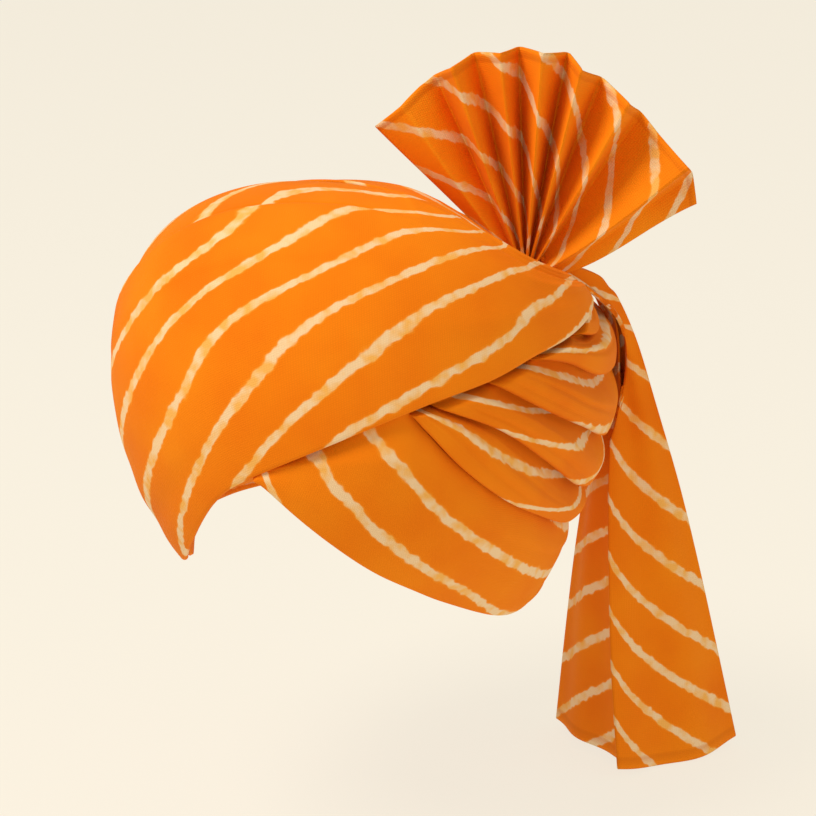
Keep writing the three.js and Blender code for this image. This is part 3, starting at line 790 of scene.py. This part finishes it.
# The tail
# The other end of the cloth, let out from the tuck, folded along its length into three
# panels of the voile and hung free. Its hem is turned up and its panels spread below.
TAIL = [
    [0, 71, -10, 91, -4, 85, 4],
    [0.01, 73, -9, 97, -2, 90, 10],
    [0.03, 74, -9, 107, 5, 97, 20],
    [0.055, 77, -6, 112, 9, 101, 28],
    [0.08, 83, -1, 117, 12, 105, 34],
    [0.17, 107, 24, 127, 24, 110, 50],
    [0.3, 114, 31, 138, 32, 109, 62],
    [0.47, 114, 28, 152, 40, 105, 70],
    [0.64, 115, 25, 164, 47, 100, 77],
    [0.81, 117, 24, 175, 55, 96, 83],
    [1, 121, 24, 187, 65, 92, 88],
]
TAIL_DROP = 268
tail_steps, tail_columns = 150, 121
down = np.linspace(0, 1, tail_steps + 1)
# A row holds the share of the drop, then x and y in millimetres of the near edge, the
# right fold and the left fold.
drop, *corners = np.moveaxis(along_table(TAIL, down), -1, 0)
near_edge, right_fold, left_fold = [np.stack(corners[k : k + 2], -1) for k in (0, 2, 4)]
# The last panel comes forward again and ends tucked behind the near one.
tucked_edge = near_edge + np.array([7.0, 6.0])
panels = [(near_edge, right_fold), (right_fold, left_fold), (left_fold, tucked_edge)]
cloth_share = np.linspace(0, 1, tail_columns)
flat = np.repeat(near_edge[:, None], tail_columns, 1)
cloth_run = np.zeros((tail_steps + 1, tail_columns))
bow = np.zeros((tail_steps + 1, tail_columns))
parts = [np.clip(cloth_share * 3 - n, 0, 1) for n in range(3)]
for part, (start, end) in zip(parts, panels):
    span = np.linalg.norm(end - start, axis=1)[:, None]
    flat += (end - start)[:, None] * part[:, None]
    cloth_run += span * part
    bow += 0.05 * 4 * part * (1 - part) * span
run = np.gradient(flat, axis=1)
length = np.linalg.norm(run, axis=-1) + 1e-6
ripples = 1.5 * np.sin(2 * math.pi * (cloth_share * 5.1 + 0.15))
waves = bow + ripples * smooth_step(down, 0.2, 0.9)[:, None]
# A soft pleat runs down from the tuck along the near panel.
pleat_at = 0.13 + 0.14 * smooth_step(down, 0.02, 0.4)[:, None]
pleat_rise = smooth_step(down, 0.01, 0.06) * (1 - smooth_step(down, 0.26, 0.5))
waves += 3.2 * pleat_rise[:, None] * smooth_step(cloth_share, pleat_at - 0.035, pleat_at) * (
    1 - smooth_step(cloth_share, pleat_at, pleat_at + 0.012)
)
flat += np.stack([run[..., 1], -run[..., 0]], -1) / length[..., None] * waves[..., None]
for _ in range(3):
    flat[:, 1:-1] = 0.25 * flat[:, :-2] + 0.5 * flat[:, 1:-1] + 0.25 * flat[:, 2:]
sag = 4.0 * np.sin(math.pi * parts[0]) * smooth_step(down, 0.6, 1)[:, None]
level = root[2] - 3 - TAIL_DROP * drop[:, None] - sag
points = flat[..., :1] * sideways + flat[..., 1:] * rearwards + level[..., None] * upright
size = np.linalg.norm(points, axis=-1)
least = winding_radius(points / size[..., None]) + np.where(cloth_share < 0.34, 4.6, 2.2)
points = points * (np.maximum(size, least) / size)[..., None]
# The stripes run down to the right on the first two panels and up on the last one.
last_run = np.linalg.norm(tucked_edge - left_fold, axis=1)[:, None] * parts[2]
fallen = TAIL_DROP * drop[:, None]
dye = np.where(
    cloth_share < 2 / 3,
    (fallen - 0.8 * cloth_run - 10 * (1 - np.exp(-cloth_run / 7))) / 28.7 + 0.6,
    (fallen + 0.74 * last_run) / 31.1 + 0.44,
)
hem = smooth_step(down, 0.984, 0.988)[:, None] * np.ones(tail_columns)
tail = lay_cloth("tail_cloth", points, dye, 1.0, hem=hem)
tail.data.materials.append(voile)
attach(tail, "root")
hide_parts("tail")
